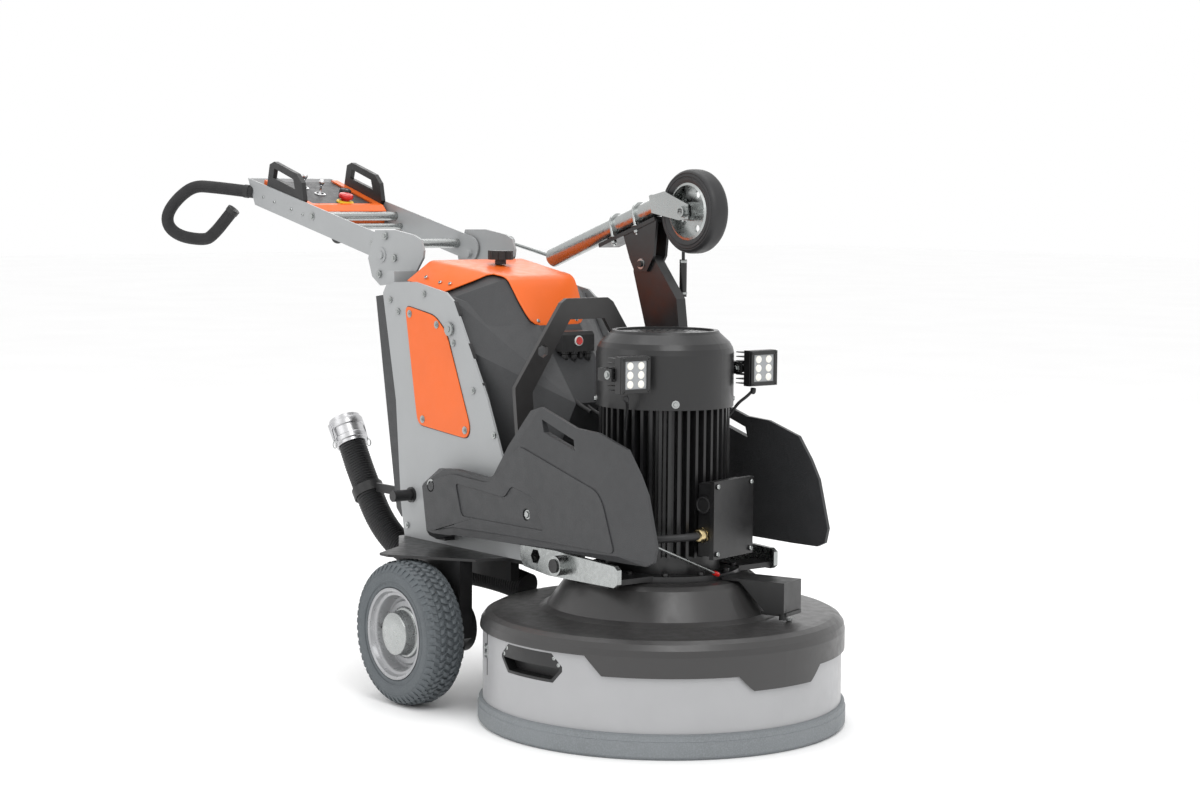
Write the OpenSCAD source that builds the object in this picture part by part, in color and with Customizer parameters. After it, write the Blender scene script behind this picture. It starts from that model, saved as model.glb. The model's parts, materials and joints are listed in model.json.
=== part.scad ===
// Walk-behind planetary floor grinder: grinding head with motor, wheeled chassis, steering handle.
// Lengths in millimetres. +X forward, +Y left, +Z up, floor at Z = 0.
// Places are worked out from the vertical axis of the grinding head, which stands head_x ahead of the origin.

/* [Grinding head] */
// Distance of the head's axis ahead of the middle of the machine
head_x = 709.2; // [600:0.1:800]
// Radius over the rubber ring at the foot of the skirt
skirt_r = 425; // [400:1:450]
// Radius of the head cover's side wall
cover_r = 421; // [395:1:446]
// Height of the cover's shoulder
cover_top = 257; // [250:1:270]
// Height of the boss that carries the motor
boss_top = 344; // [335:1:355]
// Radius of the three tool discs
disc_r = 132; // [110:1:140]
// Distance of the disc axes from the head's axis
orbit_r = 262; // [250:1:270]

/* [Motor] */
// Radius over the motor's cooling fins
motor_r = 150; // [135:1:155]
// Number of cooling fins
fin_count = 44; // [24:4:60]
// Radius of the fan cowl
cowl_r = 158; // [150:1:165]
// Height of the fan cowl's top
cowl_top = 902; // [880:1:920]
// Turn of the motor about its axis, seen from above
motor_turn = 14; // [0:1:25]

/* [Chassis] */
// Distance of each side plate's outer face from the middle
plate_y = 220; // [210:1:225]
// Thickness of the side plates
plate_t = 6; // [4:1:8]
// Distance of the side panels' inner face from the middle
panel_y = 250; // [246:1:256]

/* [Rear wheels] */
// Distance of the wheel axis behind the head's axis
wheel_back = 472; // [465:1:500]
// Radius of the tyres
wheel_r = 172; // [160:1:175]
// Width of the tyres
wheel_w = 100; // [80:1:110]
// Distance of each wheel's middle plane from the middle of the machine
wheel_y = 384; // [380:1:400]

/* [Handle] */
// Pitch of the handle arms below the horizontal, towards the machine
arm_pitch = 12; // [10:1:15]
// Distance of each arm's outer face from the middle
arm_y = 135; // [120:1:136]
// Length of the arms from the pivot to the grip end
arm_len = 705; // [690:1:720]

/* [Transport wheel] */
// Distance of the stowed wheel's plane from the middle
stow_y = 200; // [190:1:205]
// Radius of the transport wheel
caster_r = 100; // [80:1:100]
// Tilt of the stowed tube
tube_pitch = 18.2; // [15:0.1:20]

/* [Hidden] */
$fn = 96;

run_gap = 0.05;      // radial clearance of every running fit
loose_gap = 0.5;     // clearance between faces that slide past each other
plate_in = plate_y - plate_t;

deck_top = 356;      // top of the deck plate, which the side plates stand on

// Outline of a side plate, as X and Z from the head's axis
plate_outline = [
    [-738, deck_top], [-755, 440], [-777, 692], [-836, 956], [-822, 976], [-782, 984], [-694, 989],
    [-561, 968], [-527, 947], [-390, 724], [-315, 563], [-250, 430], [-250, deck_top]
];
window_outline = [[-734, 930], [-606, 910], [-557, 873], [-456, 650], [-468, 622], [-677, 640], [-690, 701]];
window_screws = [[-712, 910], [-596, 889], [-655, 654], [-476, 642]];
plate_screws = [[-652, 961], [-765, 913], [-445, 739], [-528, 848], [-724, 384], [-800, 940], [-360, 640]];
panel_outline = [
    [-600, 504], [-532, 547], [-457, 553], [-315, 545], [-292, 555], [-167, 716], [-128, 727], [2, 690],
    [81, 686], [183, 658], [225, 607], [252, 564], [284, 455], [275, 421], [250, 410], [169, 408],
    [-102, 407], [-239, 404], [-456, 396], [-540, 374], [-574, 380]
];
panel_face = [
    [-585, 500], [-530, 532], [-315, 530], [-280, 545], [-195, 643], [97, 567], [125, 537], [169, 424],
    [-102, 418], [-239, 416], [-456, 408], [-540, 390], [-566, 394]
];
panel_slot = [[-120, 700], [0, 664], [8, 640], [-108, 672]];
deck_outline = [[-745, 232], [-600, 330], [-540, 424], [-505, 424], [-326, 297], [-300, 214], [-300, 0], [-745, 0]];
pivot_outline = [
    [-988, 1109], [-896, 1111], [-811, 1100], [-780, 1089], [-768, 1062], [-771, 1044], [-800, 1011],
    [-824, 984], [-900, 975], [-965, 968], [-1002, 990], [-1021, 1036]
];
pivot = [-956, 1046];
link_pivot = [-68, 371];
hose_route = [
    [-440, -60, 250], [-500, -72, 262], [-560, -88, 270], [-620, -108, 275], [-680, -128, 280],
    [-740, -146, 287], [-790, -160, 298], [-835, -170, 316], [-875, -175, 342], [-910, -178, 372],
    [-940, -179, 406], [-965, -179, 440], [-990, -178, 472], [-1012, -177, 500], [-1030, -176, 526], [-1046, -176, 552]
];
hose_end = hose_route[len(hose_route) - 1];
coupling_tilt = -atan2(16, 26);   // lean of the coupling's axis rearwards from the vertical

plate_grey = [0.62, 0.63, 0.64];
orange = [0.95, 0.35, 0.05];
dark_grey = [0.2, 0.2, 0.21];
black = [0.06, 0.06, 0.06];
zinc = [0.75, 0.75, 0.75];
rubber_grey = [0.35, 0.37, 0.38];

module from_head() translate([head_x, 0, 0]) children();

// An outline in X and Z, standing up, from y0 to y1
module upright(outline, y0, y1) translate([0, y1, 0]) rotate([90, 0, 0]) linear_extrude(y1 - y0) polygon(outline);

// A cylinder along Y from y0 to y1 at X and Z
module pin_y(r, p, y0, y1) translate([p[0], y1, p[1]]) rotate([90, 0, 0]) cylinder(r = r, h = y1 - y0);

module both_sides() {
    children();
    mirror([0, 1, 0]) children();
}

// Parts of the handle lie along the arms: X towards the machine, Z square to the arms, from the pivot
module from_pivot() from_head() translate([pivot[0], 0, pivot[1]]) rotate([0, arm_pitch, 0]) children();

// ---- Chassis ----

module side_plate() from_head() difference() {
    upright(plate_outline, -plate_y, -plate_in);
    upright([for (p = window_outline) [p[0] + (p[0] < -600 ? 14 : -14), p[1] + (p[1] > 750 ? -14 : 14)]],
        -plate_y - 1, -plate_in + 1);
    pin_y(15, [-705, 462], -plate_y - 1, -plate_in + 1);
}

module side_plate_right() color(plate_grey) side_plate();

module side_plate_left() color(plate_grey) mirror([0, 1, 0]) side_plate();

module window_panels() color(orange) from_head() both_sides() upright(window_outline, -plate_y - 3, -plate_y);

cabinet_rear = [[-738, 372], [-738, 400], [-774, 692], [-798, 935], [-700, 978], [-560, 958], [-470, 830], [-470, 372]];
cabinet_nose = [[-520, 960], [-397, 892], [-250, 716], [-276, 686], [-420, 560], [-520, 560]];
cabinet_foot = [[-500, 372], [-345, 372], [-345, 440], [-500, 600]];

module cabinet_form(wall) hull() {
    upright([for (p = cabinet_rear) [p[0] + (p[0] < -600 ? wall : -wall), p[1] + (p[1] < 500 ? wall : -wall)]],
        -208 + wall, 208 - wall);
    upright([for (p = cabinet_nose) [p[0] + (p[0] < -450 ? wall : -wall), p[1] + (p[1] < 700 ? wall : -wall)]],
        -62 + wall, 62 - wall);
    upright([for (p = cabinet_foot) [p[0] - wall, p[1] + (p[1] < 500 ? wall : -wall)]], -150 + wall, 150 - wall);
}

module cabinet() color(dark_grey) from_head() difference() {
    cabinet_form(0);
    cabinet_form(6);
}

rear_outline = [[-786, 420], [-764, 400], [-745, 402], [-760, 470], [-779, 692], [-838, 952], [-880, 946]];

module rear_cover() color(dark_grey) from_head() difference() {
    upright(rear_outline, -212, 212);
    for (i = [0:6]) translate([-862 + i * 8, 0, 870 - i * 34]) rotate([0, -12, 0]) cube([30, 300, 9], center = true);
}

// Ends of the top cover's four edge lines: X, half width, Z
top_rear = [-751, 205, 1000];
top_ridge_rear = [-735, 144, 1040];
top_ridge_front = [-475, 101, 1008];
top_edge_front = [-475, 150, 985];
top_nose = [-397, 58, 895];

module corner_pair(p, t) both_sides() translate([p[0], p[1] - t, p[2] - t]) sphere(r = t, $fn = 12);

module top_shell(t, drop) hull() {
    translate([0, 0, -drop]) {
        corner_pair(top_rear, t);
        corner_pair(top_ridge_rear, t);
        corner_pair(top_ridge_front, t);
        corner_pair(top_edge_front, t);
        corner_pair([top_rear[0], top_rear[1], 990], t);
        corner_pair([-582, 205, 985], t);
    }
}

module top_cover() color(orange) from_head() {
    difference() {
        top_shell(4, 0);
        top_shell(4, 6);
    }
    hull() {
        corner_pair([top_ridge_front[0] + 8, top_ridge_front[1], top_ridge_front[2]], 4);
        corner_pair([top_nose[0] + 8, top_nose[1], top_nose[2]], 4);
        corner_pair([top_ridge_front[0] + 3, top_ridge_front[1], top_ridge_front[2] - 2], 4);
    }
}

module connector_block() color(black) from_head() difference() {
    upright([[-386.5, 880], [-330, 880], [-322, 872], [-322, 832], [-346.4, 832]], -48, 48);
    translate([-332, 0, 858]) rotate([0, 90, 0]) cylinder(r = 9 + loose_gap, h = 12);
}

module start_button() color([0.6, 0.1, 0.1]) from_head() translate([-326, 0, 858]) rotate([0, 90, 0])
    cylinder(r = 9, h = 9);

module star_knob() color(black) from_head() translate([-640, 0, 1030.5]) {
    cylinder(r = 14, h = 12);
    difference() {
        translate([0, 0, 12]) cylinder(r = 32, h = 22);
        for (i = [0:5]) rotate([0, 0, i * 60]) translate([37, 0, 6]) cylinder(r = 11, h = 40);
    }
}

hoop_outer = [[0, 962], [62, 962], [78, 952], [212, 758], [212, 742], [182, 400], [136, 400]];
hoop_inner = [[162, 744], [52, 912], [0, 912]];

module lifting_hoop() color(dark_grey) from_head() translate([-288, 0, 0]) both_sides() difference() {
    rotate([90, 0, -90]) linear_extrude(12) polygon(concat(hoop_outer, hoop_inner));
    translate([-13, -132, 840]) rotate([0, 90, 0]) cylinder(r = 16, h = 14, $fn = 6);
}

module side_panel() from_head() difference() {
    union() {
        upright(panel_outline, -panel_y - 8, -panel_y);
        intersection() {
            upright(panel_outline, -panel_y - 30, -panel_y - 6);
            hull() {
                upright(panel_face, -panel_y - 22, -panel_y - 14);
                upright(panel_outline, -panel_y - 8, -panel_y - 6);
            }
        }
    }
    upright(panel_slot, -panel_y - 40, -panel_y + 1);
    pin_y(14, [-163, 478], -panel_y - 40, -panel_y - 12);
    pin_y(17, [-545, 505], -panel_y - 40, -panel_y - 8);
}

module side_panel_right() color(dark_grey) side_panel();

module side_panel_left() color(dark_grey) mirror([0, 1, 0]) side_panel();

module deck_frame() color(black) from_head() both_sides() {
    translate([0, 0, deck_top - 6]) mirror([0, 1, 0]) linear_extrude(6) polygon(deck_outline);
    translate([-745, -plate_in, 300]) cube([445, 24, deck_top - 306]);
    translate([-300.5, -plate_in, 345]) cube([272.5, 8, 70]);
    pin_y(16, link_pivot, -268, -plate_in);
    translate([-560, -panel_y, 372]) cube([40, panel_y - plate_y, 40]);
    translate([-563, -panel_y, 420]) cube([36, panel_y - plate_y, 100]);
    translate([-240, -panel_y, 430]) cube([30, panel_y - plate_in, 60]);
}

module wheel_drives() color(black) from_head() both_sides() {
    difference() {
        translate([-560, -322, 110]) cube([205, 36, deck_top - 116]);
        pin_y(60, [-330, 110], -330, -280);
    }
    pin_y(62, [-wheel_back, wheel_r], -286, -232);
    pin_y(25, [-wheel_back, wheel_r], -wheel_y - 30, -322);
}

module lashing_pins() color(black) from_head() both_sides() {
    pin_y(14, [-705, 462], -plate_y - 58, -plate_in - 0.5);
    pin_y(19, [-705, 462], -plate_y - 6, -plate_y);
}

module handle_mount() color(plate_grey) from_head() {
    both_sides() {
        difference() {
            upright(pivot_outline, -arm_y - 9, -arm_y - 3);
            pin_y(10, pivot, -arm_y - 10, -arm_y);
        }
        pin_y(10, pivot, -arm_y - 16, -arm_y + 14);
        pin_y(19, pivot, -arm_y - 12, -arm_y - 9);
    }
    translate([-828, -arm_y - 3, 985]) cube([34, 2 * arm_y + 6, 26]);
    both_sides() translate([-828, -plate_in, 985]) cube([34, plate_in - arm_y - 9, 26]);
}

// Points on a circle about p, square to the direction towards q
function ring_at(p, d, r, n) =
    let (u = [-d[1], d[0], 0] / norm([d[0], d[1], 0]), v = cross(d, u) / norm(d))
    [for (i = [0:n - 1]) p + r * (cos(360 * i / n) * u + sin(360 * i / n) * v)];

function direction(route, i) =
    let (a = route[max(i - 1, 0)], b = route[min(i + 1, len(route) - 1)]) (b - a) / norm(b - a);

// A round tube swept along a route of points
module swept_tube(route, r, n) {
    rings = [for (i = [0:len(route) - 1]) each ring_at(route[i], direction(route, i), r, n)];
    walls = [for (i = [0:len(route) - 2]) for (j = [0:n - 1])
        [i * n + j, (i + 1) * n + j, (i + 1) * n + (j + 1) % n, i * n + (j + 1) % n]];
    last = (len(route) - 1) * n;
    caps = [[for (j = [0:n - 1]) j], [for (j = [n - 1:-1:0]) last + j]];
    polyhedron(rings, concat(walls, caps));
}

module dust_hose() color(black) from_head() swept_tube(hose_route, 36, 12);

module hose_coupling() color([0.8, 0.8, 0.8]) from_head()
    translate(hose_end) rotate([0, coupling_tilt, 0]) difference() {
        union() {
            cylinder(r = 40, h = 74);
            translate([0, 0, 10]) cylinder(r = 44, h = 12);
            translate([0, 0, 46]) cylinder(r = 45, h = 20);
        }
        translate([0, 0, 12]) cylinder(r = 36, h = 70);
    }

module hose_clips() color(black) from_head() {
    translate([-965, -179, 440]) rotate([0, -36, 0]) difference() {
        cylinder(r = 41, h = 26, center = true);
        cylinder(r = 37.5, h = 30, center = true);
    }
    translate([-922, -184, 444]) cube([127, 8, 22]);
}

module bolt_head(r, p, y, h) {
    pin_y(r, p, -y - h, -y);
    pin_y(r * 0.45, p, -y - h - 2, -y - h);
}

module frame_bolts() color(zinc) from_head() both_sides() {
    for (p = plate_screws) bolt_head(8, p, plate_y, 4);
    for (p = window_screws) bolt_head(6, p, plate_y + 3, 3);
    bolt_head(16, [-541, 881], plate_y + 3, 5);
    bolt_head(16, [-545, 505], panel_y + 8, 5);
    bolt_head(11, [-163, 478], panel_y + 12, 7);
    for (p = [[-937, 1095], [-896, 1040], [-965, 997]]) bolt_head(10, p, arm_y + 9, 6);
}

// ---- Rear wheels ----

module on_wheel_axis(side) from_head() translate([-wheel_back, side * wheel_y, wheel_r]) rotate([90, 0, 0]) children();

rim_r = 104;

module tyre(side) on_wheel_axis(side) rotate_extrude() polygon([
    [rim_r, -38], [rim_r + 8.5, -44], [rim_r + 10, -47.5], [wheel_r - 30, -50], [wheel_r - 14, -wheel_w / 2 + 2], [wheel_r - 4, -36],
    [wheel_r, -24], [wheel_r, 24], [wheel_r - 4, 36], [wheel_r - 14, wheel_w / 2 - 2], [wheel_r - 30, 50],
    [rim_r + 10, 47.5], [rim_r + 8.5, 44], [rim_r, 38]
]);

// The wheel's outer side is along its own axis on the right, and against it on the left
module outer_side(side) mirror([0, 0, side > 0 ? 1 : 0]) children();

module tyre_right() color(rubber_grey) tyre(-1);

module tyre_left() color(rubber_grey) tyre(1);

module rim_right() color(plate_grey) rim_body(-1);

module rim_left() color(plate_grey) rim_body(1);

// A drop-centre rim with a wheel disc and a hub whose blind bore runs on the axle stub
module rim_body(side) on_wheel_axis(side) outer_side(side) difference() {
    union() {
        rotate_extrude() polygon([
            [rim_r - 5, -42], [rim_r + 8, -47], [rim_r + 8, -44], [rim_r, -38], [rim_r, 38], [rim_r + 8, 44],
            [rim_r + 8, 47], [rim_r - 5, 42], [rim_r - 14, 36], [rim_r - 14, 4], [rim_r - 14, -4],
            [rim_r - 14, -36]
        ]);
        translate([0, 0, 2]) cylinder(r = rim_r - 13, h = 6);
        translate([0, 0, -34]) cylinder(r = 40, h = 40);
        cylinder(r = 66, h = 40);
    }
    translate([0, 0, -wheel_w]) cylinder(r = 25 + run_gap, h = wheel_w + 31);
}

// ---- Handle ----

// Outline of an arm along and square to itself, round about the pivot and slanted at the grip end
arm_low = -18;
arm_high = 46;
arm_outline = concat(
    [[-arm_len - 7, arm_high], [-arm_len + 45, arm_low]],
    [for (a = [-90:15:90]) [32 * cos(a), 14 + 32 * sin(a)]]
);

module handle_frame() color(plate_grey) from_pivot() {
    difference() {
        both_sides() upright(arm_outline, -arm_y, -arm_y + 4);
        pin_y(10 + run_gap, [0, 0], -arm_y - 1, arm_y + 1);
    }
    upright([[-arm_len - 7, arm_high], [-arm_len + 45, arm_low], [-arm_len + 49, arm_low], [-arm_len - 2, arm_high]],
        -arm_y + 4, arm_y - 4);
    translate([-arm_len + 48, -arm_y + 4, arm_low]) cube([282, 2 * arm_y - 8, 3]);
    translate([-arm_len + 60, -70, arm_low - 18]) cube([150, 140, 18]);
}

module cross_tubes() color(zinc) from_pivot() {
    pin_y(12, [-362, 18], -arm_y + 4, arm_y - 4);
    pin_y(8, [-330, -3], -arm_y + 4, arm_y - 4);
    pin_y(12, [-60, 14], -arm_y + 4, arm_y - 4);
}

console_front = -395;
console_back = -652;

module console_box() color(orange) from_pivot() difference() {
    upright([[console_back, -15], [console_front, -15], [console_front + 4, 26], [console_front - 16, 38],
        [console_back, 54]], -118, 118);
    upright([[console_back - 1, 22], [console_front - 30, 22], [console_front - 30, 35], [console_back - 1, 50]],
        -104, 104);
    upright([[console_back - 1, 22], [console_front - 30, 22], [console_front - 30, 54], [console_back - 1, 74]],
        -98, 98);
}

module panel_place(x, y) translate([x, y, 34 + (console_front - 30 - x) * 0.064]) rotate([0, 3.6, 0]) children();

module console_panel() color(dark_grey) from_pivot() difference() {
    upright([[console_back + 1, 22], [console_front - 31, 22], [console_front - 31, 34], [console_back + 1, 48.8]],
        -97.5, 97.5);
    for (p = panel_holes) panel_place(p[0], p[1]) cylinder(r = p[2], h = 60, center = true);
}

stop_at = [-450, 20];
knob_at = [-505, 52];
stick_front = [-530, -12];
stick_rear = [-590, -30];
panel_holes = [
    [stop_at[0], stop_at[1], 12.5], [knob_at[0], knob_at[1], 6.5],
    [stick_front[0], stick_front[1], 11], [stick_rear[0], stick_rear[1], 11]
];

module console_guards() color(black) from_pivot() both_sides() difference() {
    upright([[-615, 30], [-430, 30], [-420, 48], [-440, 92], [-470, 110], [-590, 118], [-612, 106]],
        -arm_y + 4, -118);
    upright([[-588, 74], [-470, 68], [-484, 92], [-586, 100]], -arm_y, -117);
}

module emergency_stop() color([0.8, 0.05, 0.05]) from_pivot() panel_place(stop_at[0], stop_at[1]) {
    translate([0, 0, -6]) cylinder(r = 12, h = 24);
    translate([0, 0, 14]) cylinder(r = 20, h = 12);
}

module speed_knob() color(black) from_pivot() panel_place(knob_at[0], knob_at[1]) {
    translate([0, 0, -6]) cylinder(r = 6, h = 10);
    translate([0, 0, 1]) cylinder(r = 17, h = 22);
}

module joystick(p) from_pivot() panel_place(p[0], p[1]) {
    cylinder(r = 4, h = 32);
    translate([0, 0, 34]) sphere(r = 8);
    translate([0, 0, -2]) sphere(r = 8);
}

module joystick_front() color(zinc) joystick(stick_front);

module joystick_rear() color(zinc) joystick(stick_rear);

// The grip loop's corners: distance from its root, and height
grip_splay = 38.5;
grip_r = 17;
grip_corners = [[-14, 1200], [107, 1213], [163, 1216], [211, 1182], [245, 1137], [241, 1100], [203, 1074], [137, 1066],
    [111, 1075], [45, 1153]];

// Chaikin's corner cutting keeps both ends and rounds the corners between
function rounded(route, times) = times == 0 ? route : rounded(concat(
    [route[0]],
    [for (i = [0:len(route) - 2]) each [
        i == 0 ? route[0] * 0.5 + route[1] * 0.5 : route[i] * 0.75 + route[i + 1] * 0.25,
        i == len(route) - 2 ? route[i] * 0.5 + route[i + 1] * 0.5 : route[i] * 0.25 + route[i + 1] * 0.75
    ]],
    [route[len(route) - 1]]), times - 1);

grip_points = rounded(grip_corners, 2);

module grips() color(black) from_head() both_sides() translate([-1636, -arm_y, 0]) rotate([0, 0, grip_splay])
    swept_tube([for (p = grip_points) [-p[0], 0, p[1]]], grip_r, 12);

// ---- Transport wheel ----

swing_pivot = [-297, 1040];
tube_front = [-255, 1184];

module wheel_post() color(black) from_head() difference() {
    upright([[-284, 350], [-204, 350], [-160, 880], [-172, 960], [-262, 1060], [-332, 1060], [-335, 1020],
        [-285, 880]], stow_y - 22, stow_y + 6);
    pin_y(8, swing_pivot, stow_y - 40, stow_y + 40);
}

module swing_plate() color(black) {
    from_head() {
        for (y = [stow_y - 30, stow_y + 7])
            upright([[-322, 1022], [-276, 1022], [-250, 1060], [-240, 1150], [-366, 1108.5], [-340, 1050]], y, y + 7);
        pin_y(8 - run_gap, swing_pivot, stow_y - 36, stow_y + 24);
    }
    from_tube() translate([-227, -32, -40]) cube([226, 64, 9.9]);
}

module from_tube() from_head() translate([tube_front[0], stow_y, tube_front[1]]) rotate([0, -tube_pitch, 0]) children();

module wheel_tube() color(zinc) {
    from_tube() {
        difference() {
            translate([-452, 0, 0]) rotate([0, 90, 0]) cylinder(r = 24, h = 452);
            translate([-453, 0, 0]) rotate([0, 90, 0]) cylinder(r = 21, h = 440);
        }
        for (x = [-176, -84]) translate([x, 0, 0]) rotate([0, 90, 0]) difference() {
            cylinder(r = 30, h = 8);
            translate([0, 0, -1]) cylinder(r = 23.9, h = 10);
        }
    }
    from_head() {
        lever_rod([-690, 1046], [-880, 1078], 5);
        lever_rod([-872, 1077], [-996, 1065], 17);
    }
}

// A round rod in the stowed wheel's plane, from one point to another
module lever_rod(a, b, r) translate([a[0], stow_y, a[1]])
    rotate([0, atan2(b[0] - a[0], b[1] - a[1]), 0]) cylinder(r = r, h = norm(b - a));

module swing_damper() color(black) from_head() {
    translate([-222, stow_y + 41, 962]) cylinder(r = 9, h = 90);
    translate([-222, stow_y + 41, 1050]) cylinder(r = 4, h = 102);
    pin_y(8, [-222, 1158], stow_y + 36.2, stow_y + 46);
}

caster_at = [-135, 1169];

module caster_fork() color(zinc) {
    from_tube() translate([0, -36, -22]) cube([8, 72, 44]);
    from_head() fork_cheeks();
}

module fork_cheeks() {
    difference() {
        for (y = [stow_y - 36, stow_y + 32])
            upright([[-252, 1164], [-262, 1204], [-205, 1216], [-118, 1186], [-116, 1152], [-150, 1148]], y, y + 4);
        pin_y(8, caster_at, stow_y - 60, stow_y + 60);
    }
    pin_y(8, caster_at, stow_y - 42, stow_y + 42);
    for (y = [stow_y - 46, stow_y + 36]) pin_y(13, caster_at, y, y + 10);
}

module on_caster_axis() from_head() translate([caster_at[0], stow_y, caster_at[1]]) rotate([90, 0, 0]) children();

module caster_tyre() color(black) on_caster_axis() rotate_extrude() polygon([
    [68, -22], [74, -25], [92, -25], [98, -19], [caster_r, -12], [caster_r, 12], [98, 19], [92, 25], [74, 25], [68, 22]
]);

module caster_rim() color(zinc) on_caster_axis() difference() {
    union() {
        rotate_extrude() polygon([[62, -24], [68, -22], [68, 22], [62, 24], [62, 3], [20, 3], [20, -3], [62, -3]]);
        cylinder(r = 22, h = 56, center = true);
    }
    cylinder(r = 8 + run_gap, h = 60, center = true);
    for (i = [0:4]) rotate([0, 0, i * 72]) translate([42, 0, 0]) cylinder(r = 9, h = 20, center = true);
}

// ---- Grinding head ----

shell = 5;
cover_low = 144;
step_mid = 178;
step_high = 220;
band_top = 224;

// What is cut away under the cover's stepped lower edge, as X and Z
cover_steps = [
    [-cover_r - 20, cover_low - 20], [cover_r * cos(11.5), cover_low - 20], [cover_r * cos(11.5), cover_low],
    [cover_r * cos(16.5), step_mid], [cover_r * cos(58), step_mid], [cover_r * cos(63.5), step_high],
    [-cover_r - 20, step_high]
];

cover_profile = [
    [cover_r, cover_low], [cover_r, cover_top - 34], [cover_r - 3, cover_top - 20], [cover_r - 12, cover_top - 8],
    [cover_r - 26, cover_top - 1], [cover_r - 40, cover_top + 1], [285, cover_top + 6], [266, cover_top + 14],
    [222, boss_top - 12], [210, boss_top - 3], [196, boss_top], [90, boss_top]
];

cover_inside = [
    [90, boss_top - shell], [194, boss_top - shell], [206, boss_top - 10], [216, boss_top - 20],
    [260, cover_top + 8], [282, cover_top], [cover_r - 41, cover_top - 5], [cover_r - 28, cover_top - 6],
    [cover_r - 14, cover_top - 11], [cover_r - 5.5, cover_top - 20], [cover_r - shell, cover_top - 36],
    [cover_r - shell, cover_low]
];

module head_cover() color(dark_grey) from_head() difference() {
    rotate_extrude() polygon(concat(cover_profile, cover_inside));
    upright(cover_steps, -cover_r - 20, cover_r + 20);
}

module head_pan() color(black) from_head() difference() {
    union() {
        translate([0, 0, 236]) cylinder(r = 380, h = 8);
        translate([0, 0, 226]) cylinder(r = 110, h = boss_top - shell - 226);
        for (i = [0:7]) rotate([0, 0, i * 45]) translate([105, -4, 243]) cube([100, 8, 60]);
    }
    translate([0, 0, 200]) cylinder(r = 46, h = 200);
}

module link_arms() color(zinc) from_head() both_sides() difference() {
    union() {
        upright([[-228, 372], [-215, 350], [-120, 340], [118, 344], [130, 352], [130, 384], [118, 392], [-60, 398],
            [-130, 404], [-215, 404], [-228, 394]], -240, -228);
        pin_y(23, link_pivot, -264, -228);
    }
    pin_y(16 + run_gap, link_pivot, -270, -220);
    translate([-170, -226, 378]) rotate([90, 0, 0]) cylinder(r = 18, h = 16, $fn = 6);
}

handle_turn = 85.5;  // angle of the skirt handles from straight ahead
pocket_outline = [[-100, 177], [-100, 187], [-72, 214], [72, 214], [100, 187], [100, 180], [72, 150], [-76, 150]];
pocket_mouth = [[-92, 178], [-92, 183], [92, 183], [92, 181], [68, 156], [-71, 156]];

module at_pockets() for (m = [0, 1]) mirror([0, m, 0]) rotate([0, 0, handle_turn]) children();

// An outline across and up, standing square to the skirt, from x0 to x1
module facing(outline, x0, x1) translate([x0, 0, 0]) rotate([90, 0, 90]) linear_extrude(x1 - x0) polygon(outline);

module skirt_band() color([0.72, 0.72, 0.73]) from_head() difference() {
    rotate_extrude() polygon([[410, 50], [414, 50], [414, band_top], [410, band_top]]);
    at_pockets() facing([for (p = pocket_outline) [p[0] * 1.003, p[1] + (p[1] > 182 ? 0.3 : -0.3)]], 370, 440);
}

module skirt_ring() color(rubber_grey) from_head() rotate_extrude() polygon([
    [402, 0], [418, 0], [skirt_r, 8], [skirt_r, 40], [skirt_r - 2, 44], [skirt_r - 3, 54], [skirt_r - 8, 56],
    [414.1, 56], [414.1, 40], [409.9, 40], [409.9, 50], [402, 50]
]);

module skirt_handles() color(black) from_head() at_pockets() difference() {
    intersection() {
        translate([0, 0, 140]) cylinder(r = 413.5, h = 90);
        facing(pocket_outline, 374, 440);
    }
    facing(pocket_mouth, 380, 440);
    translate([380, -80, 182]) cube([12, 160, 26]);
}

module from_motor() from_head() rotate([0, 0, motor_turn]) children();

fin_root = motor_r - 24;
fin_step = 360 / fin_count;
fin_profile = [for (i = [0:fin_count - 1]) each [
    fin_root * [cos((i - 0.32) * fin_step), sin((i - 0.32) * fin_step)],
    motor_r * [cos((i - 0.16) * fin_step), sin((i - 0.16) * fin_step)],
    motor_r * [cos((i + 0.16) * fin_step), sin((i + 0.16) * fin_step)],
    fin_root * [cos((i + 0.32) * fin_step), sin((i + 0.32) * fin_step)]
]];

module motor_body() color(black) from_motor() difference() {
    union() {
        translate([0, 0, 396]) linear_extrude(350) polygon(fin_profile);
        translate([0, 0, boss_top]) cylinder(r = 176, h = 14);
        translate([0, 0, boss_top]) cylinder(r = 132, h = 54);
        rotate([0, 0, -motor_turn]) both_sides() translate([55, -228, boss_top + 4]) cube([65, 100, 12]);
        for (i = [0:11]) rotate([0, 0, i * 30 + 8]) translate([162, 0, boss_top + 14]) cylinder(r = 8, h = 7);
        translate([100, -50, 410]) cube([50, 100, 150]);
    }
    translate([0, 0, 300]) cylinder(r = 40, h = 500);
}

module cowl_shell() from_motor() difference() {
    rotate_extrude() polygon([
        [cowl_r - 4, 730], [cowl_r, 730], [cowl_r, 852], [cowl_r - 3, 864], [cowl_r - 10, 876], [126, 896],
        [122, cowl_top], [112, cowl_top], [112, 897], [0, 897], [0, 893], [118, 893], [145, 872],
        [cowl_r - 5, 862], [cowl_r - 4, 850]
    ]);
    for (i = [0:5]) for (j = [0:8 + 6 * i]) rotate([0, 0, j * 360 / (9 + 6 * i)])
        translate([30 + i * 15, 0, 890]) cylinder(r = 4, h = 12, $fn = 6);
}

// The cowl carries sheet-metal stirrups for the two lamps, square to the machine
module fan_cowl() color(black) {
    cowl_shell();
    from_head() both_sides() {
        translate([54, -239, 800]) cube([6, 98, 28]);
        translate([60, -239, 800]) cube([42, 5.7, 28]);
        translate([60, -146.7, 800]) cube([42, 5.7, 28]);
    }
}

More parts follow.
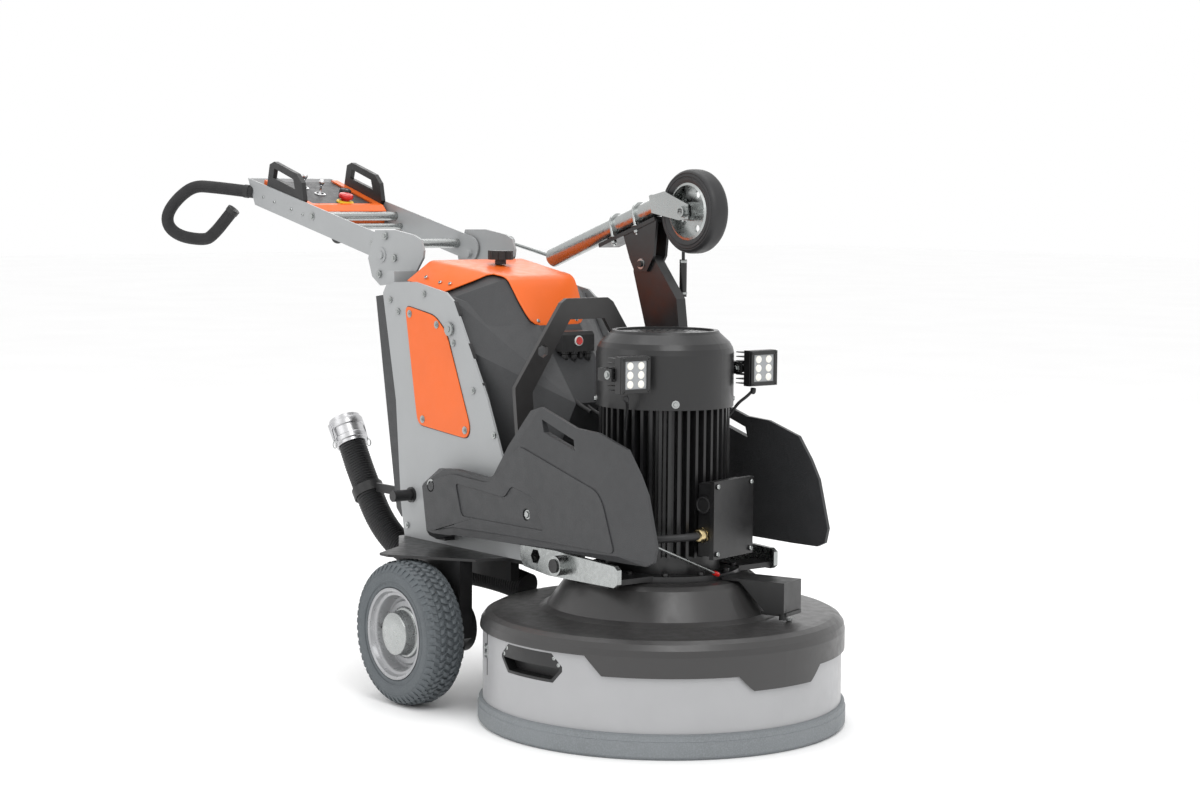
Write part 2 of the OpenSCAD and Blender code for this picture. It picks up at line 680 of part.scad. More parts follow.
module rotor() color(zinc) from_head() {
    translate([0, 0, 134]) cylinder(r = 30, h = 616);
    translate([0, 0, 749]) cylinder(r = 16, h = 110);
    translate([0, 0, 790]) cylinder(r = 40, h = 50);
    for (i = [0:6]) rotate([0, 0, i * 360 / 7]) translate([30, -3, 790]) cube([100, 6, 50]);
    translate([0, 0, 142]) cylinder(r = 70, h = 60);
}

module terminal_box() color(black) from_motor() difference() {
    union() {
        translate([motor_r, -72, 404]) cube([34, 144, 164]);
        translate([motor_r + 34, -78, 398]) cube([12, 156, 176]);
        for (y = [-66, 66]) for (z = [410, 562])
            translate([motor_r + 46, y, z]) rotate([0, 90, 0]) cylinder(r = 6, h = 3);
        translate([motor_r + 16, -74, 520]) rotate([90, 0, 0]) cylinder(r = 20, h = 6, center = true);
    }
    translate([motor_r + 16, -66, 452]) rotate([90, 0, 0]) cylinder(r = 14, h = 20);
}

// Centre lines of the motor cable, in the motor's frame, and of a lamp cable
cable_route = [[motor_r + 16, -90, 452], [164, -112, 452], [152, -134, 451], [130, -154, 449], [100, -172, 446],
    [64, -184, 442], [24, -191, 436], [-20, -192, 428], [-60, -190, 420]];
lead_route = [[92, -190, 767], [84, -178, 750], [68, -166, 732], [54, -158, 708], [43, -149, 684]];

module cables() color(black) {
    from_motor() {
        translate([motor_r + 16, -66, 452]) rotate([90, 0, 0]) cylinder(r = 13.9, h = 24);
        swept_tube(cable_route, 9, 10);
        translate([-72, -204, 406]) cube([28, 28, 28]);
    }
    from_head() both_sides() swept_tube(lead_route, 4, 8);
}

lamp_at = [124, 190, 814];

// The lamp box hangs between the two cheeks of its stirrup
module lamp(side) from_head() translate([lamp_at[0], side * lamp_at[1], lamp_at[2]]) {
    translate([-20, -41, -41]) cube([26, 82, 82]);
    for (i = [0:6]) translate([-50, -38, -36 + i * 11]) cube([31, 76, 4]);
    translate([-36, 0, 0]) rotate([90, 0, 0]) cylinder(r = 8, h = 86, center = true);
}

module lamp_right() color(black) lamp(-1);

module lamp_left() color(black) lamp(1);

bracket_turn = 20;
bracket_front = 336;

module front_bracket() color(black) from_head() rotate([0, 0, bracket_turn]) {
    translate([178, -42, boss_top + 2]) cube([bracket_front - 178, 84, 6]);
    translate([bracket_front - 6, -42, 282]) cube([6, 84, 66]);
    for (y = [-42, 36]) upright([[222, boss_top + 3], [bracket_front - 5, boss_top + 3], [bracket_front - 5, 282],
        [290, 282]], y, y + 6);
    translate([bracket_front - 60, -36, 276]) cube([64, 72, 8]);
    translate([bracket_front - 8, -30, 268]) cylinder(r = 9, h = 22);
}

// ---- Inside the head ----

module planet_carrier() color([0.45, 0.45, 0.47]) from_head() difference() {
    union() {
        rotate_extrude() polygon([
            [30 + run_gap, 118], [368, 118], [368, 218], [30 + run_gap + 4, 218], [30 + run_gap + 4, 210], [360, 210],
            [360, 128], [30 + run_gap, 128]
        ]);
        for (i = [0:2]) rotate([0, 0, i * 120]) translate([orbit_r, 0, 112]) cylinder(r = 50, h = 14);
    }
    for (i = [0:2]) rotate([0, 0, i * 120]) translate([orbit_r, 0, 100]) cylinder(r = 25 + run_gap, h = 60);
    translate([0, 0, 100]) cylinder(r = 72, h = 40);
}

module belts() color(black) from_head() for (i = [0:2]) rotate([0, 0, i * 120]) translate([0, 0, 150 + i * 16])
    difference() {
        hull() {
            cylinder(r = 76, h = 10, $fn = 48);
            translate([orbit_r, 0, 0]) cylinder(r = 76, h = 10, $fn = 48);
        }
        translate([0, 0, -1]) hull() {
            cylinder(r = 71, h = 12, $fn = 48);
            translate([orbit_r, 0, 0]) cylinder(r = 71, h = 12, $fn = 48);
        }
    }

module tool_disc(i) from_head() rotate([0, 0, i * 120]) translate([orbit_r, 0, 0]) {
    translate([0, 0, 40]) cylinder(r = 25, h = 160);
    translate([0, 0, 146 + i * 16]) cylinder(r = 70, h = 16);
    translate([0, 0, 58]) cylinder(r = 60, h = 48);
    translate([0, 0, 30]) cylinder(r = disc_r, h = 28);
    for (j = [0:2]) rotate([0, 0, j * 120 + 60]) translate([disc_r - 34, 0, 0]) {
        translate([-22, -28, 12]) cube([44, 56, 18.5]);
        for (y = [-15, 15]) translate([0, y, 0]) cylinder(r = 11, h = 13);
    }
}

module tool_disc_1() color([0.5, 0.5, 0.52]) tool_disc(0);

module tool_disc_2() color([0.5, 0.5, 0.52]) tool_disc(1);

module tool_disc_3() color([0.5, 0.5, 0.52]) tool_disc(2);

side_plate_right();
side_plate_left();
window_panels();
cabinet();
rear_cover();
top_cover();
connector_block();
start_button();
star_knob();
lifting_hoop();
side_panel_right();
side_panel_left();
deck_frame();
wheel_drives();
lashing_pins();
handle_mount();
dust_hose();
hose_coupling();
hose_clips();
frame_bolts();
wheel_post();
tyre_right();
tyre_left();
rim_right();
rim_left();
handle_frame();
cross_tubes();
console_box();
console_panel();
console_guards();
grips();
emergency_stop();
speed_knob();
joystick_front();
joystick_rear();
swing_plate();
wheel_tube();
swing_damper();
caster_fork();
caster_tyre();
caster_rim();
head_cover();
head_pan();
link_arms();
skirt_band();
skirt_ring();
skirt_handles();
motor_body();
fan_cowl();
rotor();
terminal_box();
cables();
lamp_right();
lamp_left();
front_bracket();
planet_carrier();
belts();
tool_disc_1();
tool_disc_2();
tool_disc_3();
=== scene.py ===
import json
import math

import bmesh
import bpy
from mathutils import Matrix, Vector


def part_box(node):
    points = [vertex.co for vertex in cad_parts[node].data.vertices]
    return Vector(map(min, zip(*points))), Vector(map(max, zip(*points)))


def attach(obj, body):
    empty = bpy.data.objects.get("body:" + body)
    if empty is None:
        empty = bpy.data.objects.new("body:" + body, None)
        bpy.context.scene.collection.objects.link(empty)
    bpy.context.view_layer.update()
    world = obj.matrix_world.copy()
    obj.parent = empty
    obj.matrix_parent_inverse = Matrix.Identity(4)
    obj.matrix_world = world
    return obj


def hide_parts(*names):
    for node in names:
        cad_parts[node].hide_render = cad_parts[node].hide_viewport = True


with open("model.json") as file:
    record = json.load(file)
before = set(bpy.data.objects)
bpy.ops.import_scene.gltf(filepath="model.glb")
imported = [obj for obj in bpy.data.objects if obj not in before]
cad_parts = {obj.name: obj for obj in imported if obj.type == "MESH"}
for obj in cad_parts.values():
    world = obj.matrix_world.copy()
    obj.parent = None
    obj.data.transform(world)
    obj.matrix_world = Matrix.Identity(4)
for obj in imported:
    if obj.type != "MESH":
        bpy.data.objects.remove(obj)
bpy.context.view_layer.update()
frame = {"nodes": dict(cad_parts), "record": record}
nodes = frame["nodes"]

# The head's vertical axis, in metres
ring_lo, ring_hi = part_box("skirt_ring")
HEAD_X = (ring_lo.x + ring_hi.x) / 2

# ---------------------------------------------------------------- camera and light


def place_camera():
    """A three-quarter view from the machine's front right, a little above the motor."""
    azimuth, pitch, roll = math.radians(51.4904), math.radians(5.1975), math.radians(0.4872)
    distance, height, aside = 5.5128, 1.2404, -0.14802
    side = Vector((math.cos(azimuth), math.sin(azimuth), 0))
    ahead = Vector((-math.sin(azimuth) * math.cos(pitch), math.cos(azimuth) * math.cos(pitch),
                    -math.sin(pitch)))
    up = side.cross(ahead)
    at = Vector((math.sin(azimuth) * distance, -math.cos(azimuth) * distance, height)) + side * aside
    at.x += HEAD_X
    x_axis = side * math.cos(roll) + up * math.sin(roll)
    y_axis = -side * math.sin(roll) + up * math.cos(roll)
    data = bpy.data.cameras.new("camera")
    data.sensor_width = 36.0
    data.lens = 72.4
    data.clip_end = 50.0
    cam = bpy.data.objects.new("camera", data)
    bpy.context.scene.collection.objects.link(cam)
    cam.matrix_world = Matrix.Translation(at) @ Matrix((x_axis, y_axis, -ahead)).transposed().to_4x4()
    bpy.context.scene.camera = cam


def area_light(name, at, target, size, power, colour=(1, 1, 1)):
    data = bpy.data.lights.new(name, "AREA")
    data.size = size
    data.energy = power
    data.color = colour
    lamp = bpy.data.objects.new(name, data)
    bpy.context.scene.collection.objects.link(lamp)
    lamp.location = at
    lamp.rotation_euler = (Vector(target) - Vector(at)).to_track_quat("-Z", "Y").to_euler()


def light_scene():
    world = bpy.data.worlds.new("studio")
    bpy.context.scene.world = world
    world.use_nodes = True
    world.node_tree.nodes["Background"].inputs["Color"].default_value = (1.0, 1.0, 1.0, 1)
    world.node_tree.nodes["Background"].inputs["Strength"].default_value = 1.0
    area_light("key", (3.4, -1.2, 4.2), (0.3, 0, 0.5), 2.2, 60)
    area_light("side", (-0.6, -4.6, 2.6), (0.0, 0, 0.6), 2.6, 22)
    area_light("top", (-0.4, 0.6, 4.4), (0.0, 0, 0.6), 2.4, 45)
    area_light("back", (-3.6, 2.8, 3.0), (-0.3, 0, 0.8), 2.2, 20)


# ---------------------------------------------------------------- finishes


def link(tree, source, target):
    tree.links.new(source, target)


def material(name, colour, rough, metallic=0.0, tint=0.05, tint_scale=7.0, grain=0.12, grain_scale=900.0,
             cells=False, rough_spread=0.06, coat=0.0, stretch=(1, 1, 1), spots=0.0):
    """A painted, moulded or metal surface: broad tint changes, uneven gloss and a fine grain."""
    m = bpy.data.materials.new(name)
    m.use_nodes = True
    tree = m.node_tree
    tree.nodes.clear()
    new = tree.nodes.new
    out = new("ShaderNodeOutputMaterial")
    shader = new("ShaderNodeBsdfPrincipled")
    link(tree, shader.outputs["BSDF"], out.inputs["Surface"])
    shader.inputs["Metallic"].default_value = metallic
    shader.inputs["Coat Weight"].default_value = coat
    shader.inputs["Coat Roughness"].default_value = 0.25
    where = new("ShaderNodeTexCoord")
    mapping = new("ShaderNodeMapping")
    mapping.inputs["Scale"].default_value = stretch
    link(tree, where.outputs["Object"], mapping.inputs["Vector"])

    def noise(scale, detail):
        n = new("ShaderNodeTexNoise")
        n.inputs["Scale"].default_value = scale
        n.inputs["Detail"].default_value = detail
        link(tree, mapping.outputs["Vector"], n.inputs["Vector"])
        return n.outputs["Fac"]

    def spread(source, low, high):
        r = new("ShaderNodeMapRange")
        r.inputs["From Min"].default_value = 0.3
        r.inputs["From Max"].default_value = 0.7
        r.inputs["To Min"].default_value = low
        r.inputs["To Max"].default_value = high
        link(tree, source, r.inputs["Value"])
        return r.outputs["Result"]

    mix = new("ShaderNodeMix")
    mix.data_type = "RGBA"
    mix.inputs["A"].default_value = (*[c * (1 - tint) for c in colour], 1)
    mix.inputs["B"].default_value = (*[min(1.0, c * (1 + tint)) for c in colour], 1)
    link(tree, spread(noise(tint_scale, 4.0), 0.0, 1.0), mix.inputs["Factor"])
    surface = mix.outputs["Result"]
    if spots:
        fleck = new("ShaderNodeMix")
        fleck.data_type = "RGBA"
        fleck.inputs["B"].default_value = (*[min(1.0, c * (1 + spots)) for c in colour], 1)
        link(tree, surface, fleck.inputs["A"])
        link(tree, spread(noise(grain_scale * 0.7, 1.0), -0.4, 1.0), fleck.inputs["Factor"])
        surface = fleck.outputs["Result"]
    link(tree, surface, shader.inputs["Base Color"])
    link(tree, spread(noise(tint_scale * 6, 3.0), rough - rough_spread, rough + rough_spread),
         shader.inputs["Roughness"])
    bump = new("ShaderNodeBump")
    bump.inputs["Strength"].default_value = grain
    bump.inputs["Distance"].default_value = 0.0006
    if cells:
        v = new("ShaderNodeTexVoronoi")
        v.inputs["Scale"].default_value = grain_scale
        link(tree, mapping.outputs["Vector"], v.inputs["Vector"])
        link(tree, v.outputs["Distance"], bump.inputs["Height"])
    else:
        link(tree, noise(grain_scale, 2.0), bump.inputs["Height"])
    link(tree, bump.outputs["Normal"], shader.inputs["Normal"])
    return m


def glowing(name, colour, strength):
    """A lit lamp surface with a soft unevenness across it."""
    m = material(name, colour, 0.3, tint=0.02, tint_scale=120.0, grain=0.0)
    shader = next(n for n in m.node_tree.nodes if n.type == "BSDF_PRINCIPLED")
    shader.inputs["Emission Color"].default_value = (*colour, 1)
    shader.inputs["Emission Strength"].default_value = strength
    return m


M = {
    "frame_paint": material("frame_paint", (0.335, 0.345, 0.35), 0.40, tint=0.03, grain=0.10,
                            grain_scale=650, coat=0.15),
    "orange_paint": material("orange_paint", (0.78, 0.125, 0.006), 0.40, tint=0.04, grain=0.08,
                             grain_scale=600, coat=0.05),
    "dark_paint": material("dark_paint", (0.036, 0.037, 0.039), 0.52, tint=0.06, grain=0.35,
                           grain_scale=800, spots=0.25),
    "cover_paint": material("cover_paint", (0.034, 0.033, 0.033), 0.36, tint=0.06, grain=0.18,
                            grain_scale=700, coat=0.1),
    "black_paint": material("black_paint", (0.010, 0.010, 0.0105), 0.36, tint=0.10, grain=0.14,
                            grain_scale=600, coat=0.1),
    "dark_plastic": material("dark_plastic", (0.034, 0.035, 0.037), 0.46, tint=0.07, grain=0.55,
                             grain_scale=520, cells=True),
    "black_plastic": material("black_plastic", (0.012, 0.012, 0.0125), 0.42, tint=0.10, grain=0.30,
                              grain_scale=620, cells=True),
    "red_plastic": material("red_plastic", (0.62, 0.012, 0.010), 0.28, tint=0.05, grain=0.04,
                            grain_scale=500, coat=0.3),
    "yellow_plastic": material("yellow_plastic", (0.85, 0.55, 0.02), 0.40, tint=0.04, grain=0.08,
                               grain_scale=500),
    "white_plastic": material("white_plastic", (0.75, 0.75, 0.73), 0.40, tint=0.03, grain=0.08,
                              grain_scale=500),
    "zinc_steel": material("zinc_steel", (0.41, 0.425, 0.42), 0.28, metallic=1.0, tint=0.05, tint_scale=16,
                           grain=0.06, grain_scale=300, rough_spread=0.10),
    "chrome": material("chrome", (0.78, 0.78, 0.79), 0.09, metallic=1.0, tint=0.03, grain=0.01,
                       rough_spread=0.03),
    "aluminium": material("aluminium", (0.58, 0.58, 0.59), 0.34, metallic=1.0, tint=0.05, tint_scale=20,
                          grain=0.12, grain_scale=240, stretch=(1, 1, 9), rough_spread=0.08),
    "brass": material("brass", (0.60, 0.48, 0.26), 0.26, metallic=1.0, tint=0.06, grain=0.03),
    "cast_iron": material("cast_iron", (0.22, 0.22, 0.225), 0.55, metallic=0.8, tint=0.10, grain=0.40,
                          grain_scale=500),
    "skirt_paint": material("skirt_paint", (0.36, 0.362, 0.37), 0.40, tint=0.04, grain=0.08,
                            grain_scale=500, coat=0.1),
    "grey_rubber": material("grey_rubber", (0.185, 0.20, 0.21), 0.58, tint=0.08, grain=0.25,
                            grain_scale=420, spots=0.15),
    "tyre_rubber": material("tyre_rubber", (0.085, 0.097, 0.105), 0.62, tint=0.10, grain=0.30,
                            grain_scale=360, spots=0.20),
    "black_rubber": material("black_rubber", (0.017, 0.017, 0.018), 0.50, tint=0.12, grain=0.22,
                             grain_scale=500),
    "grip_foam": material("grip_foam", (0.016, 0.016, 0.017), 0.72, tint=0.10, grain=0.9, grain_scale=1100,
                          cells=True),
    "rim_paint": material("rim_paint", (0.36, 0.365, 0.375), 0.30, metallic=0.4, tint=0.04, grain=0.06,
                          grain_scale=500, coat=0.2),
    "led": glowing("led", (0.80, 0.78, 0.72), 0.12),
    "lens": material("lens", (0.30, 0.31, 0.32), 0.12, tint=0.05, grain=0.05, grain_scale=220, coat=0.6),
}
DARKER = {"head_cover": "cover_paint", "lifting_hoop": "cover_paint"}
BEVELS = {
    "side_plate_right": 1.2, "side_plate_left": 1.2, "window_panels": 1.0, "cabinet": 5.0, "rear_cover": 3.0,
    "top_cover": 2.0, "connector_block": 3.0, "star_knob": 2.5, "lifting_hoop": 1.5, "side_panel_right": 3.0,
    "side_panel_left": 3.0, "deck_frame": 1.5, "wheel_drives": 4.0, "lashing_pins": 1.5, "handle_mount": 1.0,
    "hose_clips": 1.0, "frame_bolts": 1.0, "wheel_post": 2.0, "rim_right": 1.2, "rim_left": 1.2,
    "handle_frame": 0.9, "cross_tubes": 1.0, "console_box": 3.0, "console_panel": 1.2, "console_guards": 3.0,
    "swing_plate": 1.5, "wheel_tube": 1.2, "swing_damper": 1.2, "caster_fork": 1.2, "caster_tyre": 1.5,
    "caster_rim": 1.2, "head_cover": 1.5, "head_pan": 1.5, "link_arms": 1.5, "skirt_band": 0.8,
    "skirt_ring": 1.5,
    "skirt_handles": 1.5, "motor_body": 0.8, "fan_cowl": 0.8, "terminal_box": 3.0, "front_bracket": 1.5,
}


def finish_nodes():
    """Every CAD node takes its slot's finish, and its sharp edges catch the light."""
    for part in frame["record"]["subparts"]:
        name = part["node"]
        ob = nodes[name]
        ob.data.materials.clear()
        ob.data.materials.append(M[DARKER.get(name, part["material_slot"])])
        if name in BEVELS:
            ob.data.set_sharp_from_angle(angle=math.radians(32))
            edge = ob.modifiers.new("edges", "BEVEL")
            edge.width = BEVELS[name] / 1000
            edge.segments = 2
            edge.limit_method = "ANGLE"
            edge.angle_limit = math.radians(40)
            edge.harden_normals = True


# ---------------------------------------------------------------- building pieces


def turn(axis, degrees):
    return Matrix.Rotation(math.radians(degrees), 4, axis)


def shift(x, y, z):
    return Matrix.Translation((x, y, z))


# Places of the machine's main faces out from its middle, in millimetres
PLATE_Y = 220       # side plates
PANEL_Y = 250       # inner face of the side panels
PANEL_FACE_Y = 272  # outer face of the side panels
ARM_Y = 135         # handle arms
WHEEL_Y = 384       # middle of the chassis wheels
STOW_Y = 200        # the stowed transport wheel
SKIRT_R = 414       # outside of the skirt band
CASTER_AT = (-135, STOW_Y, 1169)

# Frames of reference
MIRROR = Matrix.Diagonal((1, -1, 1, 1))
PIVOT = (-956, 0, 1046)
HANDLE = shift(*PIVOT) @ turn("Y", 12)
MOTOR = turn("Z", 14)
TUBE = shift(-255, STOW_Y, 1184) @ turn("Y", -18.2)
BRACKET = turn("Z", 20)
TO_METRES = shift(HEAD_X, 0, 0) @ Matrix.Scale(0.001, 4)


def panel_frame(x, y):
    return HANDLE @ shift(x, y, 34 + (-425 - x) * 0.064) @ turn("Y", 3.6)


def wheel_frame(side):
    """Outwards along +Z for either wheel."""
    return shift(-472, side * WHEEL_Y, 172) @ turn("X", -90 * side)


class Piece:
    """A mesh under construction, in millimetres from the head's axis and the floor."""

    def __init__(self, place=Matrix.Identity(4)):
        self.bm = bmesh.new()
        self.place = place

    def stack(self, rings, caps=True, closed=False):
        """A skin over rings of equally many points."""
        rows = [[self.bm.verts.new(self.place @ Vector(p)) for p in ring] for ring in rings]
        count = len(rows[0])
        pairs = list(zip(rows, rows[1:]))
        if closed:
            pairs.append((rows[-1], rows[0]))
        for a, b in pairs:
            for j in range(count):
                k = (j + 1) % count
                self.bm.faces.new((a[j], a[k], b[k], b[j]))
        if caps and not closed:
            self.bm.faces.new(list(reversed(rows[0])))
            self.bm.faces.new(rows[-1])
        return self

    def lathe(self, profile, at=(0, 0, 0), axis=(0, 0, 1), sides=48, closed=False, start=0.0):
        """A profile of (radius, height) turned about an axis."""
        z = Vector(axis).normalized()
        x = (Vector((1, 0, 0)) if abs(z.x) < 0.9 else Vector((0, 1, 0))).cross(z).normalized()
        y = z.cross(x)
        at = Vector(at)
        rings = []
        for r, h in profile:
            r = max(r, 0.05)
            rings.append([
                at + z * h + (x * math.cos(t) + y * math.sin(t)) * r
                for t in (start + 2 * math.pi * i / sides for i in range(sides))
            ])
        return self.stack(rings, closed=closed)

    def box(self, lo, hi, local=Matrix.Identity(4)):
        (x0, y0, z0), (x1, y1, z1) = lo, hi
        rings = [[local @ Vector((x, y, z)) for x,
                  y in ((x0, y0), (x1, y0), (x1, y1), (x0, y1))] for z in (z0, z1)]
        return self.stack(rings)

    def prism(self, outline, a, b, plane="xz"):
        """A flat outline given a thickness from a to b, square to its plane."""
        def put(u, v, w):
            return {"xz": (u, w, v), "xy": (u, v, w), "yz": (w, u, v)}[plane]
        return self.stack([[put(u, v, w) for u, v in outline] for w in (a, b)])

    def tube(self, points, radius, sides=16, caps=True):
        """A round tube along points; radius may be a function of the length so far."""
        points = [Vector(p) for p in points]
        length = 0.0
        side = None
        rings = []
        for i, p in enumerate(points):
            ahead = (points[min(i + 1, len(points) - 1)] - points[max(i - 1, 0)]).normalized()
            if i:
                length += (p - points[i - 1]).length
            if side is None:
                side = ahead.orthogonal().normalized()
            side = (side - ahead * side.dot(ahead)).normalized()
            other = ahead.cross(side)
            r = radius(length) if callable(radius) else radius
            rings.append([
                p + (side * math.cos(t) + other * math.sin(t)) * r
                for t in (2 * math.pi * j / sides for j in range(sides))
            ])
        return self.stack(rings, caps=caps)

    def bolt(self, at, axis, r=8.0, h=6.0, washer=True):
        """A hexagon head on a washer."""
        low = 0.0
        if washer:
            self.lathe([(r * 1.65, 0), (r * 1.65, 1.4), (r * 0.4, 1.4)], at, axis, 28)
            low = 1.4
        self.lathe([(r, low), (r, low + h * 0.8), (r * 0.86, low + h), (r * 0.1, low + h)], at, axis, 6)
        return self

    def socket_screw(self, at, axis, r=6.0, h=4.0):
        """A button head with a hexagon socket."""
        self.lathe([(r, 0), (r, h * 0.35), (r * 0.8, h * 0.85), (r * 0.52, h), (r * 0.5, h * 0.3),
                    (0.1, h * 0.3)],
                   at, axis, 24)
        return self

    def done(self, name, finish, body, bevel=0.0, sharp=35, replaces=(), smooth=0):
        bm = self.bm
        bmesh.ops.recalc_face_normals(bm, faces=bm.faces)
        mesh = bpy.data.meshes.new(name)
        bm.to_mesh(mesh)
        bm.free()
        mesh.transform(TO_METRES)
        mesh.shade_smooth()
        mesh.set_sharp_from_angle(angle=math.radians(sharp))
        mesh.materials.append(M[finish])
        ob = bpy.data.objects.new(name, mesh)
        bpy.context.scene.collection.objects.link(ob)
        if bevel:
            edge = ob.modifiers.new("edges", "BEVEL")
            edge.width = bevel / 1000
            edge.segments = 2
            edge.limit_method = "ANGLE"
            edge.angle_limit = math.radians(sharp)
            edge.harden_normals = True
        if smooth:
            sub = ob.modifiers.new("smooth", "SUBSURF")
            sub.levels = sub.render_levels = smooth
        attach(ob, body)
        if replaces:
            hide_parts(*replaces)
        return ob


def rounded(route, times):
    """Corner cutting that keeps both ends."""
    for _ in range(times):
        new = [route[0]]
        for i in range(len(route) - 1):
            a, b = Vector(route[i]), Vector(route[i + 1])
            new.append(tuple(a * (0.5 if i == 0 else 0.75) + b * (0.5 if i == 0 else 0.25)))
            last = i == len(route) - 2
            new.append(tuple(a * (0.5 if last else 0.25) + b * (0.5 if last else 0.75)))
        new.append(route[-1])
        route = new
    return [Vector(p) for p in route]


def even_steps(route, step):
    """Points along a route, equally far apart."""
    route = [Vector(p) for p in route]
    total = sum((b - a).length for a, b in zip(route, route[1:]))
    count = max(2, round(total / step))
    points, gone, i = [route[0]], 0.0, 0
    for n in range(1, count):
        want = total * n / count
        while gone + (route[i + 1] - route[i]).length < want:
            gone += (route[i + 1] - route[i]).length
            i += 1
        points.append(route[i].lerp(route[i + 1], (want - gone) / (route[i + 1] - route[i]).length))
    return points + [route[-1]]


SIDES = ((-1, "right"), (1, "left"))

# ---------------------------------------------------------------- wheels

BLOCKS = 54
# Rows of tread blocks: place across the tyre, half length, top radius, skew
TREAD = ((0, 8.0, 172, 0.3), (-17, 7.2, 171.6, -0.35), (17, 7.2, 171.6, -0.35), (-33, 7.4, 169, 0.4),
         (33, 7.4, 169, 0.4))


def build_tyre(place, word):
    tyre = Piece(place)
    half = [(109, 44.5), (112, 47.5), (118, 46.5), (126, 48.5), (140, 50), (150, 49), (157, 44), (163, 36),
            (166.5, 22)]
    profile = [(104.2, 38.5)] + half + [(r, -z) for r, z in reversed(half)] + [(104.2, -38.5)]
    tyre.lathe(profile, sides=108, closed=True)
    pitch = 2 * math.pi / BLOCKS
    for row, (across, reach, top, skew) in enumerate(TREAD):
        for i in range(BLOCKS):
            base = pitch * (i + (0.5 if row in (1, 2) else 0))
            rings = []
            for r, grow in ((162, 1.15), (top - 1.2, 1.0), (top, 0.82)):
                ring = []
                for u, v in ((-1, -1), (0, -1.35), (1, -1), (1, 1), (0, 0.65), (-1, 1)):
                    z = across + u * reach * grow
                    t = base + pitch * (0.29 * v * grow + skew * u * 0.5)
                    drop = max(0.0, (abs(z) - 24) * 0.25)
                    ring.append(((r - drop) * math.cos(t), (r - drop) * math.sin(t), z))
                rings.append(ring)
            tyre.stack(rings)
    for rise in (1, -1):
        for i in range(BLOCKS):
            base = pitch * (i + 0.5)
            rings = []
            for r, z, wide in ((166, 38, 0.30), (160, 45, 0.30), (153, 49.2, 0.24), (148, 50, 0.12)):
                rings.append([
                    ((r - d) * math.cos(base + pitch * w), (r - d) * math.sin(base + pitch * w),
                        (z - d * 0.6) * rise)
                    for d, w in ((0, -wide), (0, wide), (5, wide), (5, -wide))
                ])
            tyre.stack(rings)
        for r in (122, 146):
            high = 50.2 if r > 130 else 48.6
            tyre.lathe([(r - 1.6, 48 * rise), (r, high * rise), (r + 1.6, 48 * rise)], sides=96,
                       closed=True)
    tyre.done("tyre_tread_" + word, "tyre_rubber", "wheel_" + word, bevel=0.5, sharp=45,
              replaces=["tyre_" + word])


def build_wheels():
    for side, word in SIDES:
        place = wheel_frame(side)
        build_tyre(place, word)
        rim = Piece(place)
        rim.lathe([(104, 37), (108.5, 44.5), (109, 47.6), (105.5, 49), (101, 46.5), (99, 40), (97, 36.5),
                   (91, 35), (88.5, 31), (87.5, 10), (85, 5.5), (79, 5), (76, 8), (74, 10.5), (62, 11.5),
                   (25.2, 11.5), (25.2, 3), (80, 0), (91, 0), (91, -33), (98, -37), (101, -44),
                   (108, -47.5), (108, -44), (104, -37)], sides=96, closed=True)
        rim.lathe([(25.3, -34), (40, -34), (42, -30), (42, 2), (25.3, 2)], sides=48, closed=True)
        rim.done("rim_" + word + "_pressed", "rim_paint", "wheel_" + word, bevel=0.4,
                 replaces=["rim_" + word])
        cap = Piece(place)
        cap.lathe([(62, 11.6), (61, 15), (58, 17.5), (54, 18), (52.5, 20), (51, 42), (50, 44.6), (47.6, 46),
                   (20, 46.6), (3, 46.7), (2.4, 46.1), (0.1, 46)], sides=72)
        cap.done("hub_cap_" + word, "zinc_steel", "wheel_" + word, bevel=0.3)
        valve = Piece(place)
        valve.tube([(-80, 3, 4), (-80, 3, 14), (-77, 3, 24), (-75, 3, 30)],
                   lambda s: 4.6 if s < 20 else 3.2, 14)
        valve.done("valve_" + word, "black_rubber", "wheel_" + word, bevel=0.3)


# ---------------------------------------------------------------- handle

# Corners of a grip loop from its root: distance out along it, and height
GRIP_CORNERS = [(-14, 0, 1200), (107, 0, 1213), (163, 0, 1216), (211, 0, 1182), (245, 0, 1137),
                (241, 0, 1100), (203, 0, 1074), (137, 0, 1066), (111, 0, 1075), (45, 0, 1153)]


